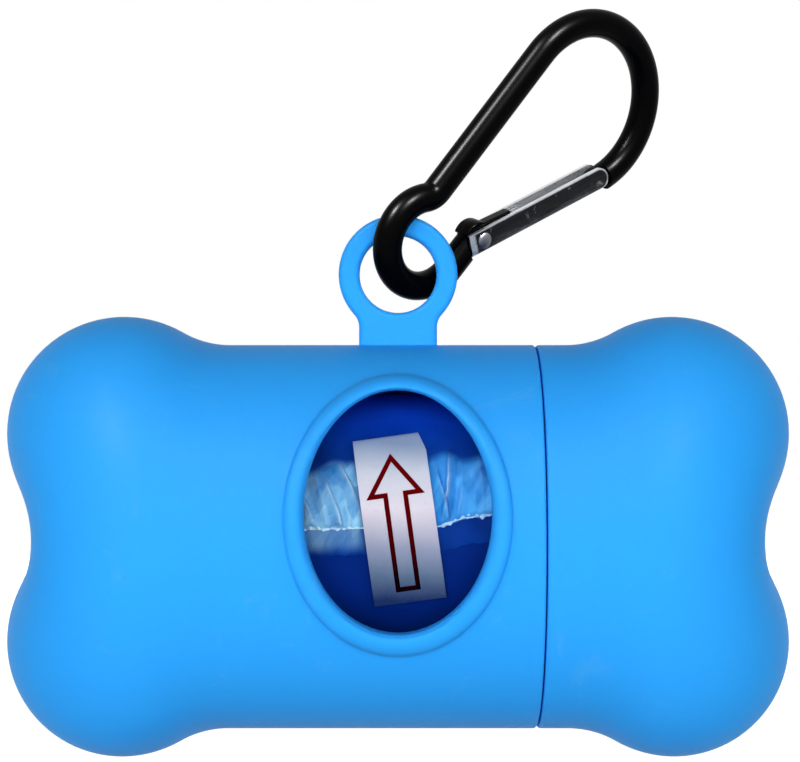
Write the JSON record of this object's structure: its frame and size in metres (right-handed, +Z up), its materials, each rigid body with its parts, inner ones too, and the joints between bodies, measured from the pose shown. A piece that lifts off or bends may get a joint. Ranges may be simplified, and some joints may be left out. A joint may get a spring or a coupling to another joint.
{
  "type": "waste bag dispenser",
  "caption": "Blue bone-shaped dispenser for rolled pet waste bags: lobed screw-cap housing, oval window over the roll, hanging loop and black pear-shaped carabiner.",
  "frame": {"origin": "where a leash ring hangs, at the highest point inside the carabiner's crown", "axes": "+X along the bone from the housing to the screw cap, -Y out of the dispensing window, +Z up from the tube to the hanging loop"},
  "size_m": [0.08, 0.0401, 0.0776],
  "materials": {
    "housing_blue": "satin moulded polypropylene",
    "cap_blue": "satin moulded polypropylene",
    "card": "wound grey-brown card",
    "film": "thin blue polyethylene film, wound",
    "film_loose": "crinkled blue polyethylene film",
    "label": "white paper with an outlined arrow",
    "black_coat": "black anodised, glossy",
    "gate_coat": "black anodised sheet with bright edges",
    "rivet": "bright",
    "spring_steel": "bright spring steel"
  },
  "bodies": {
    "carabiner": {"carabiner_frame": "black_coat", "gate_rivet": "rivet"},
    "gate": {"carabiner_gate": "gate_coat", "gate_spring": "spring_steel"},
    "housing": {"main_shell": "housing_blue"},
    "cap": {"end_cap": "cap_blue"},
    "roll": {"roll_core": "card", "bag_roll": "film", "bag_tail": "film_loose", "arrow_label": "label"}
  },
  "joints": [
    {"name": "housing_swing", "type": "hinge", "parent": "carabiner", "child": "housing", "pos_m": [-0.021, -0.00605, -0.02533], "axis": [0, 1, 0], "range_deg": [-40, 90]},
    {"name": "gate_hinge", "type": "hinge", "parent": "carabiner", "child": "gate", "pos_m": [-0.01254, -0.00152, -0.02129], "axis": [0.5861, -0.7561, -0.2911], "range_deg": [0, 25], "stiffness_Nm_per_rad": 0.008, "springref_deg": -14.32, "deforming": ["gate_spring"]},
    {"name": "cap_unscrew", "type": "slide", "parent": "housing", "child": "cap", "axis": [1, 0, 0], "range_m": [0, 0.03]},
    {"name": "roll_spin", "type": "hinge", "parent": "housing", "child": "roll", "pos_m": [-0.021, -0.00605, -0.05239], "axis": [1, 0, 0], "continuous": true}
  ]
}
